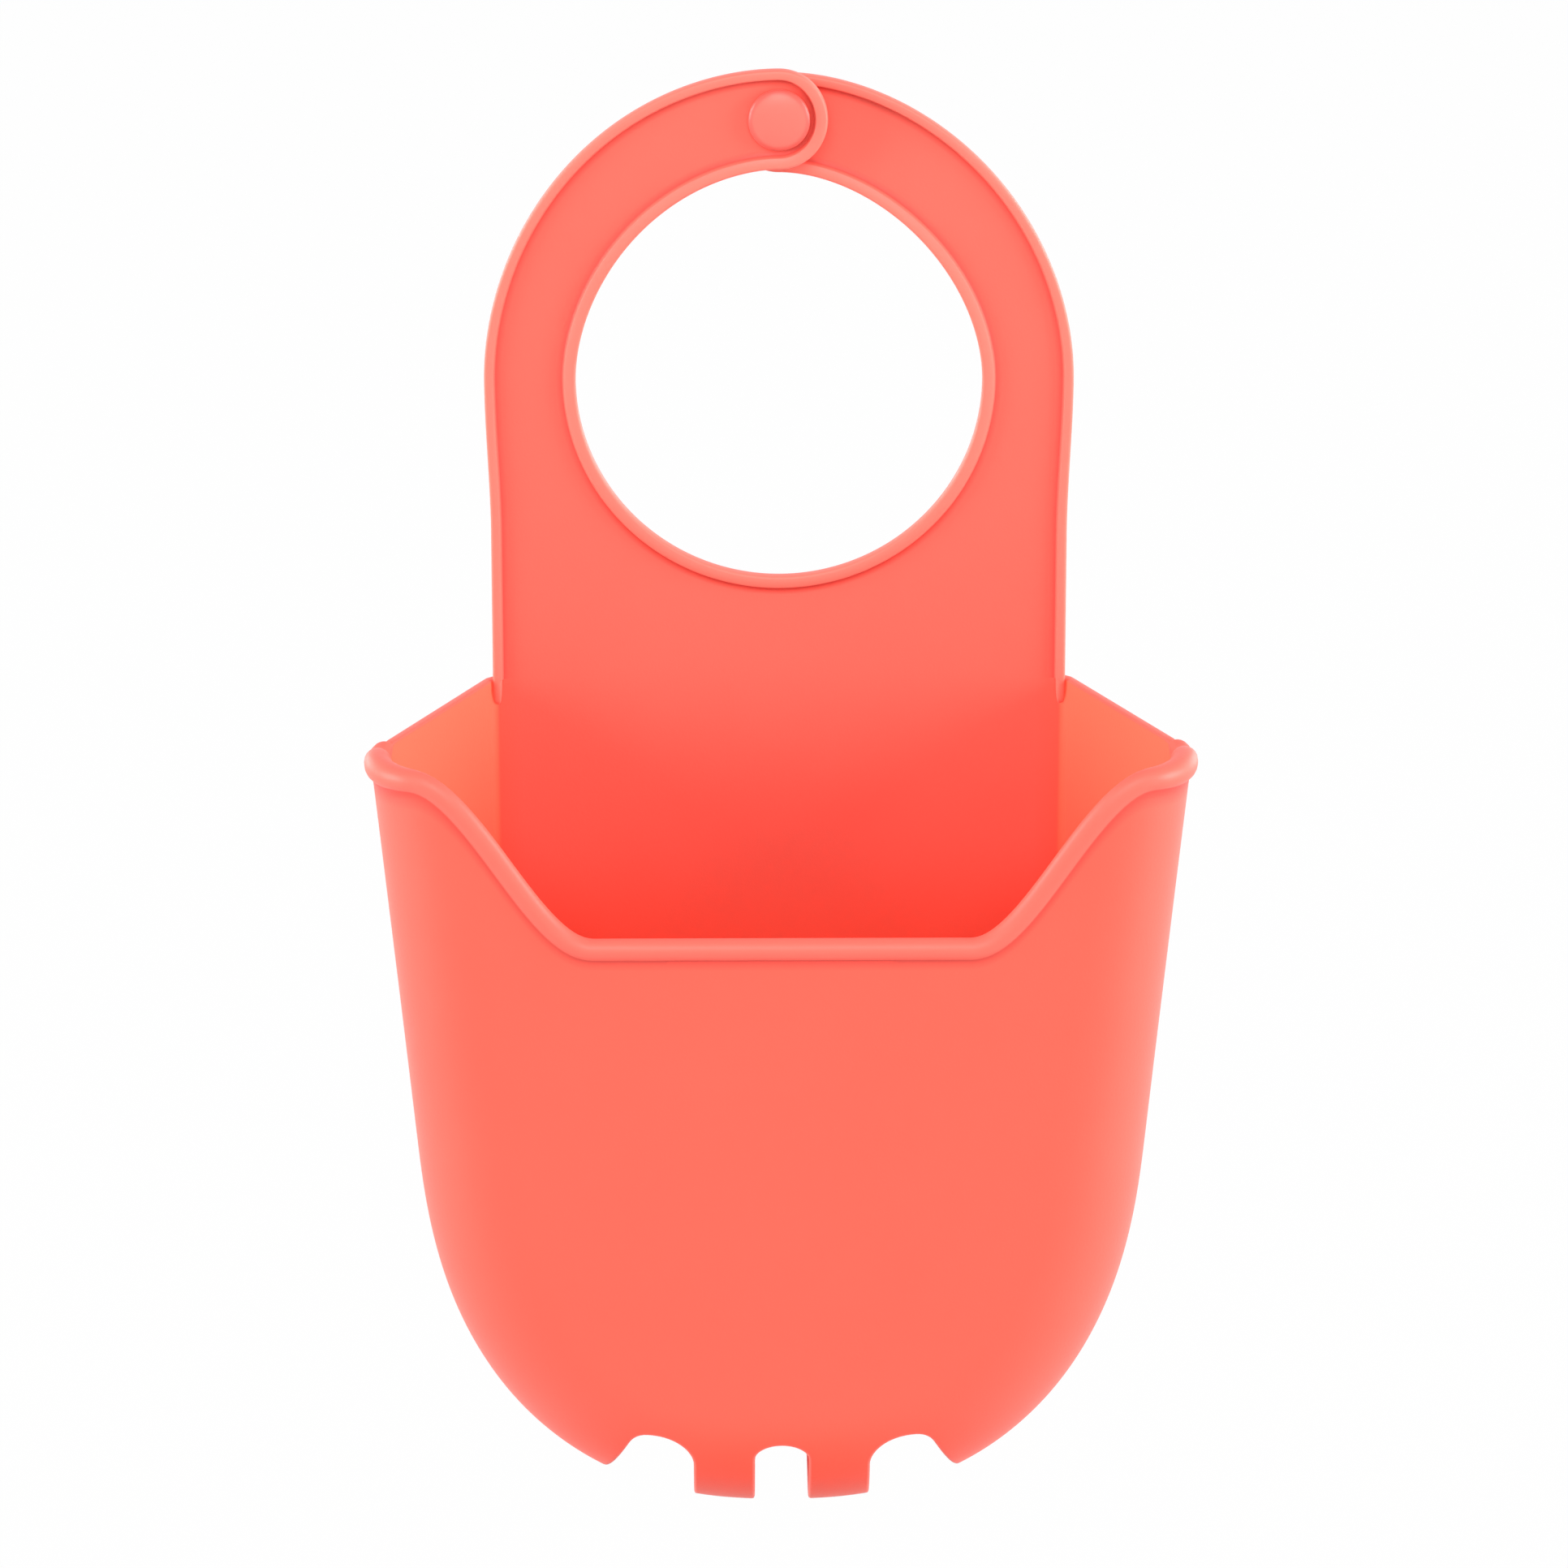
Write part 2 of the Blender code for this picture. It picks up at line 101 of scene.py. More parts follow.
# Front rim
rim_bead_radius = 0.00175
rim_corner_setback = 0.0004
knob_overhang = 0.0011
knob_length = 0.0090
corner_swell = 0.0005
corner_swell_run = 0.0160
bead_end_round = 0.0034
scoop_drop = 0.0276
scoop_end = 0.0565
scoop_run = 0.0277
corner_dip = 0.0011
knob_dip = 0.0013
knob_dip_run = 0.0085
corner_dip_lead = 0.0006
corner_dip_run = 0.0045

# Painted light and shade on the pocket: a painted highlight on its lips, painted shade that reddens its
# # foot, front, depths and back corners, and a painted shade line under the rim bead
slot_highlight = 0.3
rim_highlight = 0.25
foot_shade_height = 0.0220
foot_shade = 1.20
front_shade = 0.38
deep_shade = 0.8
corner_shade = 0.35
deep_shade_start_z = -0.0740
deep_shade_run = 0.0250
crease_shade_shares = (1, 0.5, 0)

# Drain slots
centre_slot_half = 0.0042
centre_slot_top = floor_z + 0.0144
centre_slot_crown = 0.0025
outer_slot_inner = 0.0138
outer_slot_apex = 0.0073
outer_slot_climb = 0.0056
outer_slot_crown = 0.0030
outer_slot_top = floor_z + 0.0161
outer_slot_fall = math.radians(63)
slot_start = 0.0113
slot_end_length = 0.0043
least_reach_share = 1 / 9

# Press stud, on an axis through both strap ends
stud_z = (ring_rise + hole_rise) / 2
clearance = 0.0003
cap_radius = 0.0048
cap_rise = 0.0017
cap_edge = 0.0006
post_radius = 0.0009
post_length = 0.0025
post_hole_radius = 0.0012
socket_radius = 0.0042
socket_thickness = 0.0016
socket_base = 0.0006
cavity_radius = 0.0023
stud_radius = 0.0038
stud_flange = 0.0006
bulb_radius = 0.0020
bulb_rise = 0.0013
stud_edge_round = 0.00025
# Painted shade that reddens the cap's outer edge, and where it starts and ends as shares of the cap's radius
cap_edge_shade = 0.70
cap_edge_shade_start_share = 0.80
cap_edge_shade_end_share = 0.93
dome_fullness = 0.9
dome_flatness = 1.1
most_round_share = 0.45

# Finish: the scales of its patterns, their weights, its gloss, and its tints of the body colour, which
# # paint highlight, shade and light through the walls
cloud_scale = 38.0
cloud_detail = 3.0
grain_scale = 2600.0
ripple_scale = 160.0
fine_detail = 2.0
cloud_gloss = 0.12
grain_gloss = 0.10
ripple_weight = 0.8
bump_strength = 0.35
bump_distance = 0.00006
specular_level = 0.35
sheen_weight = 0.06
sheen_roughness = 0.5
# Share of the painted highlight, painted light through the walls (warm tint), and painted shade deep inside
# and along the beads' feet
highlight_share = 0.5
cloud_tint = (0.99, 0.90, 0.90, 1)
warm_tint = (1, 1.25, 0.95, 1)
deep_shade_tint = (1, 0.60, 0.42, 1)
crease_shade_tint = (0.74, 0.46, 0.48, 1)

# Studio: the photograph's frame and angle, with the sensor in millimetres, the light, and the floor
photo_width = 1932
focal_length_in_pixels = 8470
sensor_width = 36
camera_elevation = math.radians(17)
camera_turn = math.radians(0.5)
camera_distance = 1.1
camera_target = (0.0008, 0, -0.06695)
lamp_target = (0, -0.02, -0.07)
world_light = 0.33
white = (1, 1, 1, 1)
floor_colour = (0.58, 0.58, 0.58, 1)
floor_roughness = 0.9
floor_glow_share = 0.985
floor_gap = 0.030
floor_half_size = 6.0

# Meshes
weld_distance = 1e-7
sharp_angle = math.radians(55)
tiny = 1e-9


def smoothstep(value):
    """The curve 3t^2 - 2t^3 from 0 to 1, level at both ends."""
    share = np.clip(value, 0.0, 1.0)
    return share * share * (3 - 2 * share)


def signed_power(value, power):
    """The value's size raised to a power, with its sign kept."""
    return np.sign(value) * np.abs(value) ** power


def unit(vectors):
    """The vectors at a length of 1."""
    return vectors / np.linalg.norm(vectors, axis=-1)[..., None]


def grid_quads(rows, columns, first=0, around=False):
    """The quads of a grid of points kept row by row; around joins each row's end to its start."""
    index = first + np.arange(rows * columns).reshape(rows, columns)
    if around:
        index = np.hstack((index, index[:, :1]))
    return np.stack((index[:-1, :-1], index[1:, :-1], index[1:, 1:], index[:-1, 1:]), -1).reshape(-1, 4)


# Each point carries a painted highlight or shade, painted light through the wall, and a painted shade line
def shade_columns(count, highlight_and_shade=0.0, warmth=0.0, crease_shade=0.0):
    """The three shades of a number of points, each given as one value or as an array."""
    return np.column_stack([np.broadcast_to(np.ravel(values), count) for values in (highlight_and_shade, warmth, crease_shade)])


def new_object(name, data):
    """An object in the scene, at the origin."""
    item = bpy.data.objects.new(name, data)
    bpy.context.scene.collection.objects.link(item)
    return item


def add_piece(name, points, faces, shades):
    """A closed mesh object: doubles welded, faces pointing out, smooth but for its true corners.

    Shades has a column for each attribute that the finish reads. The first is above 0 on lips and beads,
    a painted highlight that stands in for sheen and for light through thin edges, and under 0 where painted
    shade makes the moulding redder: deep inside, in the back corners, at the foot and on the front. The
    second is painted light that comes through a wall, and the third is a painted shade line along the foot
    of a bead.
    """
    mesh = bpy.data.meshes.new(name)
    mesh.from_pydata(points.tolist(), [], [face.tolist() for face in faces])
    for label, values in zip(("highlight_and_shade", "warmth", "crease_shade"), shades.T.astype(np.float32)):
        mesh.attributes.new(label, "FLOAT", "POINT").data.foreach_set("value", np.ascontiguousarray(values))
    shape = bmesh.new()
    shape.from_mesh(mesh)
    bmesh.ops.remove_doubles(shape, verts=shape.verts, dist=weld_distance)
    bmesh.ops.dissolve_degenerate(shape, edges=shape.edges, dist=weld_distance)
    bmesh.ops.recalc_face_normals(shape, faces=shape.faces)
    shape.to_mesh(mesh)
    shape.free()
    mesh.shade_smooth()
    mesh.set_sharp_from_angle(angle=sharp_angle)
    return new_object(name, mesh)


def both_sides(points, faces, shades):
    """A right half and its mirror image across X = 0."""
    mirrored_points = points * (-1, 1, 1)
    mirrored_faces = [face[::-1] + len(points) for face in faces]
    return (np.vstack((points, mirrored_points)), list(faces) + mirrored_faces,
            np.concatenate((shades, shades)))


# Pocket

straight_rows = 26
belly_rows = 92
back_columns = 12
back_round_columns = 4
side_columns = 34
lead_columns = 3
knob_columns = 16
corner_columns = 26
front_columns = 54
# Columns before the front over which its painted shade fades in
front_shade_columns = 18
lip_steps = 18
slot_lip_steps = 8
rim_settling = 6

# Each row of the half shell has a share of the straight side, then a turn round the belly. The
# # first rows lie close together, where the bead's crease and its painted shade line are, and so do the
# belly's last ones.
crease_row_shares = (0, 0.020, 0.045)
first_plain_share = 0.08
belly_crowding = 1.25
plain_row_shares = np.linspace(first_plain_share, 1, straight_rows - len(crease_row_shares))
row_straight = np.concatenate((crease_row_shares, plain_row_shares, np.ones(belly_rows)))
belly_share = np.linspace(0, 1, belly_rows + 1)[1:]
row_turn = np.concatenate((np.zeros(straight_rows), math.pi / 2 * (1 - (1 - belly_share) ** belly_crowding)))

# Round the front corner the columns crowd together where the rim bead starts.
middle_corner = corner_radius - wall / 2
bead_start = math.asin(rim_corner_setback / middle_corner)
bead_full = bead_start + bead_end_round / middle_corner
knob_shares = np.linspace(0, 1, knob_columns + 1) ** 2
corner_turns = np.concatenate((np.linspace(0, bead_start, lead_columns + 1)[:-1],
                               (bead_start + (bead_full - bead_start) * knob_shares)[:-1],
                               np.linspace(bead_full, math.pi / 2, corner_columns + 1)))

# The columns go from the back's middle out to its round edge, along the side, round the front corner,
# and in to the front's middle. The marks are the first columns of these five stretches, and the end.
column_counts = (back_columns, back_round_columns, side_columns, len(corner_turns) - 1, front_columns)
column_marks = np.concatenate(([0], np.cumsum(column_counts)))
on_back, on_back_round, on_side, on_corner, on_front = range(len(column_counts))
last_row = len(row_straight) - 1
last_column = int(column_marks[-1])


def column_share(column, stretch):
    """How far a column lies along one of the five stretches, from 0 to 1."""
    start, end = column_marks[stretch], column_marks[stretch + 1]
    return np.clip((column - start) / (end - start), 0, 1)


def corner_turn_at(column):
    """A column's turn round the front corner: 0 before the corner, and a quarter turn past it."""
    return np.interp(column - column_marks[on_corner], np.arange(len(corner_turns)), corner_turns)


def rim_height(x, depth):
    """Height of the rim: level at the sides, a dip under each knob, less past it, then the scoop."""
    past = depth - side_depth
    dip = (corner_dip + knob_dip * (1 - smoothstep(past / knob_dip_run))) * smoothstep(
        (past + corner_dip_lead) / corner_dip_run)
    step = (scoop_drop - corner_dip) * smoothstep((scoop_end - np.abs(x)) / scoop_run)
    return rim_z - dip - np.where(depth < side_depth, 0, step)


def pocket_surface(row, column, inset, drop=None):
    """A point of the pocket's outer face, or of its inner face where inset is the wall.

    At each depth the outline runs straight down and then round the belly, whose width follows
    (1 - u^2.6)^(1/2.4). It shrinks along a quarter circle at the back edge and at the front corner.
    The flat back and front are filled by lines from the outline to the middle. The top row lies
    under the rim by each column's drop, which leaves room for the lip or the bead. The rim's height
    depends on the width there and the width on the height, so the two are settled in a few turns.
    """
    straight = np.interp(row, np.arange(len(row_straight)), row_straight)
    turn = np.interp(row, np.arange(len(row_turn)), row_turn)
    back_turn = column_share(column, on_back_round) * math.pi / 2
    along = column_share(column, on_side)
    corner_turn = corner_turn_at(column)
    inward = np.minimum(column_share(column, on_back), 1 - column_share(column, on_front))

    corner = corner_radius - inset
    fillet = floor_radius - inset
    depth = inset + back_round * (1 - np.cos(back_turn))
    depth = depth + (side_depth - inset - back_round) * along + corner * np.sin(corner_turn)
    back_inset = back_round * (1 - np.sin(back_turn))
    fillet_share = np.clip((depth - floor_depth) / fillet, 0, 1)
    side_inset = inset * math.hypot(1, side_slope) + corner * (1 - np.cos(corner_turn)) + back_inset
    bottom = floor_z + inset + back_inset + fillet * (1 - np.sqrt(1 - fillet_share ** 2))

    def half_width(height):
        below = np.maximum(rim_z - height, 0)
        widening = front_half_width - side_taper_share * below - back_half_width
        return back_half_width + widening * depth / side_depth - side_inset

    lowered = np.interp(column, np.arange(last_column + 1), rim_drop if drop is None else drop)
    top = rim_z
    for _ in range(rim_settling):
        top = rim_height(half_width(top) * inward, depth) - lowered
    height = top + (belly_z - top) * straight - (belly_z - bottom) * np.sin(turn) ** (2 / belly_drop_exponent)
    middle = top + (belly_z - top) * straight - (belly_z - bottom) * turn / (math.pi / 2)
    x = half_width(height) * np.maximum(np.cos(turn), 0) ** (2 / belly_width_exponent) * inward
    x = np.where(np.cos(turn) < tiny, 0, x)
    return np.stack((x, -depth, height * inward + middle * (1 - inward)), -1)


# The rim: flat where the panel stands on the back wall, a low lip on the sides, and then the bead
# from the front corners on. The bead grows out of the lip along a quarter circle. It stands upright
# there, and then leans to stand square to the rim's line.
every_column = np.arange(last_column + 1)
past_start = middle_corner * (corner_turn_at(every_column) - bead_start)
bead_share = np.sqrt(1 - np.clip(1 - past_start / bead_end_round, 0, 1) ** 2)
bead_radius = rim_bead_radius + corner_swell * smoothstep(past_start / knob_length) * (
    1 - smoothstep((past_start - knob_length) / corner_swell_run))
bead_foot = np.sqrt(bead_radius ** 2 - (wall / 2) ** 2)
knob = knob_overhang * (1 - smoothstep(past_start / knob_length))
low_lip = lip_reach * column_share(every_column, on_back_round)
lip_height = low_lip + (bead_foot - low_lip) * bead_share
rim_line = unit(np.gradient(pocket_surface(np.zeros(last_column + 1), every_column, wall / 2,
                                           np.zeros(last_column + 1)), axis=0))
lean = smoothstep(past_start / knob_length)
rim_drop = lip_height / (1 - lean + lean * np.hypot(rim_line[:, 0], rim_line[:, 1]))


def slot_field(points, grow):
    """Under 0 inside a drain slot, widened all round by grow: the least of the two slots' gauges.

    The centre slot is a bar under half an ellipse. The outer one climbs along an ellipse, turns over
    a round crown and falls straight. Both end at the back in half an ellipse.
    """
    x, depth, z = np.abs(points[..., 0]), -points[..., 1], points[..., 2]
    end = np.maximum(slot_start - depth, 0) / (slot_end_length + grow)
    crown = np.maximum(z - centre_slot_top + centre_slot_crown, 0) / (centre_slot_crown + grow)
    centre = np.sqrt((x / (centre_slot_half + grow)) ** 2 + crown ** 2 + end ** 2) - 1

    apex = outer_slot_inner + outer_slot_apex
    climb = np.maximum(z - outer_slot_top + outer_slot_climb, 0) / (outer_slot_climb + grow)
    left = np.sqrt(((apex - x) / (outer_slot_apex + grow)) ** 2 + climb ** 2 + end ** 2) - 1
    radius = outer_slot_crown + grow
    across, above = x - apex, z - outer_slot_top + outer_slot_crown
    on_crown = above > across / math.tan(outer_slot_fall)
    reach = (radius - above * math.cos(outer_slot_fall)) / math.sin(outer_slot_fall)
    reach = np.maximum(reach, least_reach_share * grow)
    gauge = np.where(on_crown, np.hypot(across, above) / radius, across / reach)
    right = np.sqrt(gauge ** 2 + end ** 2) - 1
    return np.minimum(centre, np.where(x < apex, left, right))


def slot_slope(points, nudge=2e-5):
    """The way in which the slot's field grows at some points, from its change over two nudges."""
    return np.stack([slot_field(points + axis, lip_reach) - slot_field(points - axis, lip_reach)
                     for axis in nudge * np.eye(3)], -1)


def snap_to_slot(rows, columns, inset, turns=6, step=0.05, longest=0.7, least_size=1e-8):
    """Slide grid points along the surface onto a slot's edge, by Newton's steps in rows and columns.

    The field's slopes are measured over a step, and each turn moves a point by the longest at most,
    both in cells of the grid.
    """
    move_row = (rows > 0) & (rows < last_row)
    move_column = columns < last_column
    for _ in range(turns):
        here = slot_field(pocket_surface(rows, columns, inset), lip_reach)
        by_row = slot_field(pocket_surface(rows + step * move_row, columns, inset), lip_reach)
        by_column = slot_field(pocket_surface(rows, columns + step * move_column, inset), lip_reach)
        slope_row, slope_column = (by_row - here) / step, (by_column - here) / step
        size = np.maximum(slope_row ** 2 + slope_column ** 2, least_size)
        rows = np.clip(rows - np.clip(here * slope_row / size, -longest, longest), 0, last_row)
        columns = np.clip(columns - np.clip(here * slope_column / size, -longest, longest), 0, last_column)
    return pocket_surface(rows, columns, inset)


def lip(outer, inner, reach, steps):
    """Points over a wall's edge, from its outer to its inner face: half of a superellipse.

    A point's place across the wall follows the cosine of its turn, and its place along the reach, which
    is a vector, the sine, both raised to the lip's squareness.
    """
    turns = np.linspace(0, math.pi, steps + 1)[1:-1]
    across = signed_power(np.cos(turns), lip_squareness)
    up = np.sin(turns) ** lip_squareness
    middle, half = (outer + inner) / 2, (outer - inner) / 2
    return middle[:, None] + half[:, None] * across[None, :, None] + reach[:, None] * up[None, :, None]


def join_edges(starts, ends, outer_index, inner_index, lip_index):
    """Quads that close a wall along its edges, over the lip's points."""
    chain = np.column_stack((outer_index, lip_index, inner_index))
    low, high = chain[starts], chain[ends]
    return np.stack((low[:, :-1], high[:, :-1], high[:, 1:], low[:, 1:]), -1).reshape(-1, 4)


def pocket_shell():
    """The right half of the pocket's shell: two faces on one grid, cut by the slots, with round lips."""
    rows, columns = np.meshgrid(np.arange(last_row + 1), np.arange(last_column + 1), indexing="ij")
    rows, columns = rows.astype(float), columns.astype(float)
    outer = pocket_surface(rows, columns, 0)
    inner = pocket_surface(rows, columns, wall)
    centres = (outer + inner) / 2
    centres = (centres[:-1, :-1] + centres[1:, :-1] + centres[:-1, 1:] + centres[1:, 1:]) / 4
    kept = slot_field(centres, lip_reach) > 0

    def touches(cells):
        """The grid points at the corners of some cells."""
        near = np.zeros(rows.shape, bool)
        near[:-1, :-1] |= cells
        near[1:, :-1] |= cells
        near[:-1, 1:] |= cells
        near[1:, 1:] |= cells
        return near

    on_slot = touches(kept) & touches(~kept)
    outer[on_slot] = snap_to_slot(rows[on_slot], columns[on_slot], 0)
    inner[on_slot] = snap_to_slot(rows[on_slot], columns[on_slot], wall)

    count = rows.size
    index = np.arange(count).reshape(rows.shape)
    quads = grid_quads(*rows.shape)[kept.ravel()]
    points = [outer.reshape(-1, 3), inner.reshape(-1, 3)]
    faces = [quads, quads[:, ::-1] + count]
    shades = [wall_shades(rows, columns, outer, inner)]

    # Edges between a kept and a cut cell, as pairs of grid points. A slot that reaches the half shell's
    # own border has no lip there, because it goes on in the mirror image.
    across = kept[1:] != kept[:-1]
    beside = kept[:, 1:] != kept[:, :-1]
    starts = np.concatenate((index[1:-1, :-1][across], index[:-1, 1:-1][beside]))
    ends = np.concatenate((index[1:-1, 1:][across], index[1:, 1:-1][beside]))

    nodes = np.flatnonzero(on_slot.ravel())
    place = np.full(count, -1)
    place[nodes] = np.arange(len(nodes))
    out_face, in_face = outer.reshape(-1, 3)[nodes], inner.reshape(-1, 3)[nodes]
    normal = unit(out_face - in_face)
    slope = slot_slope((out_face + in_face) / 2)
    slope -= normal * np.sum(slope * normal, axis=1)[:, None]
    out = -slope / np.maximum(np.linalg.norm(slope, axis=1), tiny)[:, None]
    over = lip(out_face, in_face, out * lip_reach, slot_lip_steps)
    first = 2 * count
    lip_index = first + np.arange(over[..., 0].size).reshape(over.shape[:2])
    points.append(over.reshape(-1, 3))
    # A painted highlight on the slots' lips
    shades.append(shade_columns(lip_index.size, highlight_and_shade=slot_highlight))
    faces.append(join_edges(place[starts], place[ends], nodes, nodes + count, lip_index))

    # A painted highlight on the rim's lip and bead
    rim_over, rim_lip_highlight = rim_lip(outer[0], inner[0])
    lip_index = first + lip_index.size + np.arange(rim_over[..., 0].size).reshape(rim_over.shape[:2])
    points.append(rim_over.reshape(-1, 3))
    shades.append(shade_columns(lip_index.size, highlight_and_shade=rim_lip_highlight))
    faces.append(join_edges(every_column[:-1], every_column[1:], index[0], index[0] + count, lip_index))
    points, faces, shades = np.vstack(points), np.vstack(faces), np.vstack(shades)
    used = np.zeros(len(points), bool)
    used[faces] = True
    return points[used], (np.cumsum(used) - 1)[faces], shades[used]


def wall_shades(rows, columns, outer, inner):
    """The shades of the pocket's outer and inner faces.

    Outside, a painted shade line runs under the bead, and painted shade makes the foot and the front redder.
    Inside, painted shade reddens the wall with depth and in its back corners, and its sides are warm with
    painted light through them.
    """
    back_end, side_start, front_start = column_marks[[on_back_round, on_side, on_front]]
    crease_shade = np.interp(rows, np.arange(len(crease_shade_shares)), crease_shade_shares) * bead_share[None]
    foot = smoothstep((floor_z + foot_shade_height - outer[..., 2]) / foot_shade_height)
    front = smoothstep(1 - (front_start - columns) / front_shade_columns)
    deep_shade_share = smoothstep((deep_shade_start_z - inner[..., 2]) / deep_shade_run)
    lit_through = ((columns > back_end) & (columns <= front_start)) * (1 - deep_shade_share)
    corner = np.interp(columns, (back_end - 1, back_end, side_start), (0, 1, 0))
    # Painted shade outside and inside, and painted light through the sides
    outside = shade_columns(rows.size, highlight_and_shade=-foot_shade * foot - front_shade * front, crease_shade=crease_shade)
    inside = shade_columns(rows.size, highlight_and_shade=-deep_shade * deep_shade_share - corner_shade * corner, warmth=lit_through)
    return np.vstack((outside, inside))


def rim_lip(outer, inner):
    """The rim's points over the top of the wall: a low lip that swells to a round bead.

    The bead is the part of a circle outside the wall, centred over the wall's middle line. At its start
    it bulges outwards to a knob, by 1 - t^4 as t goes over it from the outer foot, 1, to the inner, -1.
    """
    middle = (outer + inner) / 2
    sideways = unit(outer - inner)
    upward = unit(np.cross(np.gradient(middle, axis=0), sideways))
    upward *= np.sign(upward[:, 2:])
    upward = unit(upward * lean[:, None] + (1 - lean)[:, None] * np.array((0, 0, 1)))
    plain = lip(outer, inner, upward * low_lip[:, None], lip_steps)
    over_share = np.linspace(1, -1, lip_steps + 1)[1:-1]
    turns = (math.pi - np.arcsin(wall / 2 / bead_radius))[:, None] * over_share
    outward = bead_radius[:, None] * np.sin(turns) + knob[:, None] * (1 - over_share ** 4)
    centre = middle + upward * bead_foot[:, None]
    bead = (centre[:, None] + outward[..., None] * sideways[:, None]
            + (bead_radius[:, None] * np.cos(turns))[..., None] * upward[:, None])
    over = plain + (bead - plain) * bead_share[:, None, None]
    # A painted highlight on the lip and bead, none on the flat back
    return over, np.repeat(rim_highlight * column_share(every_column, on_back_round), lip_steps - 1)


def bead_tails(rows=14, columns=20):
    """The lower end of the panel's right side bead, which sinks into the pocket's back corner.

    Its rings are superellipses that shrink as a quarter circle down to a flat core.
    """
    drop = np.linspace(0, 1, rows)
    height = rim_z - bead_tail * drop
    fade = np.sqrt(np.clip(1 - drop ** 2, 0, 1))[:, None]
    around = np.linspace(0, 2 * math.pi, columns, endpoint=False)
    half = side_bead_width / 2
    across = half * signed_power(np.cos(around), bead_squareness)
    front = (bead_thickness - web) * signed_power(np.sin(around), bead_squareness)
    rings = np.stack((panel_half_width - half + across * (bead_tail_core + (1 - bead_tail_core) * fade),
                      -web - front * fade, np.repeat(height[:, None], columns, 1)), -1)
    faces = list(grid_quads(rows, columns, around=True))
    faces.append(np.arange(columns)[::-1])
    return rings.reshape(-1, 3), faces


def make_pocket():
    """The pocket: the mirrored shell and the two bead tails."""
    points, faces, shades = both_sides(*pocket_shell())
    tail_points, tail_faces = bead_tails()
    # A painted highlight all over the bead tails
    tail_shades = shade_columns(len(tail_points), highlight_and_shade=1.0)
    tail_points, tail_faces, tail_shades = both_sides(tail_points, tail_faces, tail_shades)
    faces = faces + [face + len(points) for face in tail_faces]
    piece = add_piece("pocket_skin", np.vstack((points, tail_points)), faces,
                      np.vstack((shades, tail_shades)))
    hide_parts("pocket")
    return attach(piece, "pocket")


# Panel and straps

def bead_section(width, steps=7):
    """A bead's section from the web's front over its top and round its edge to the flat back.

    Returned as distances in from the edge, depths and shades: the step falls along a smooth curve, the
    edge is half of a superellipse, the bead carries a painted highlight and a painted shade line runs along
    its foot.
    """
    fall = np.linspace(1, 0, steps)
    down = width + bead_fall * (fall - bead_fall_inside_share)
    front = -web - (bead_thickness - web) * smoothstep(1 - fall)
    turns = np.linspace(math.pi / 2, -math.pi / 2, 2 * steps)
    across = edge_round * (1 - np.cos(turns) ** bead_squareness)
    depth = -bead_thickness / 2 * (1 + signed_power(np.sin(turns), bead_squareness))
    inside = (down[0] + crease_width,)
    distances = np.concatenate((inside, down, across, inside))
    depths = np.concatenate(((-web,), front, depth, (0.0,)))
    # A painted highlight over the bead and its edge, and a painted shade line along the bead's foot
    highlight_and_shade = np.concatenate(((0.0,), 1 - fall, np.ones(len(turns)), (0.0,)))
    crease_shade = np.concatenate(((0.0,), fall ** 3, np.zeros(len(turns) + 1)))
    return distances, depths, shade_columns(len(distances), highlight_and_shade=highlight_and_shade, crease_shade=crease_shade)


web_columns = 8
ring_sections = 130
tip_sections = 25
side_distance, side_depths, side_shades = bead_section(side_bead_width)
hole_distance, hole_depths, hole_shades = bead_section(hole_bead_width)


def band_section(outer, hole):
    """Loops round a band between an outer edge and the hole: side bead, back, hole bead, web.

    Both edges are rows of XZ points. The result is the loop's points, less their depth, its depths and
    its shades.
    """
    across = hole - outer
    across = across / np.linalg.norm(across, axis=1)[:, None]
    side = outer[:, None] + across[:, None] * side_distance[None, :, None]
    inner = hole[:, None] - across[:, None] * hole_distance[None, ::-1, None]
    share = np.linspace(0, 1, web_columns)[1:-1]
    back = side[:, -1:] + (inner[:, :1] - side[:, -1:]) * share[None, :, None]
    front = inner[:, -1:] + (side[:, :1] - inner[:, -1:]) * share[None, :, None]
    depths = np.concatenate((side_depths, np.zeros(len(share)), hole_depths[::-1], np.full(len(share), -web)))
    plain = shade_columns(len(share))
    shades = np.vstack((side_shades, plain, hole_shades[::-1], plain))
    return np.concatenate((side, back, inner, front), axis=1), depths, shades


def ring_curve(half_width, rise, exponent, angles):
    """Points of one of the ring's upper edges: a superellipse, a little more pointed than an ellipse."""
    power = 2 / exponent
    x = np.where(np.cos(angles) < tiny, 0, half_width * np.abs(np.cos(angles)) ** power)
    return np.column_stack((x, rise * np.sin(angles) ** power))


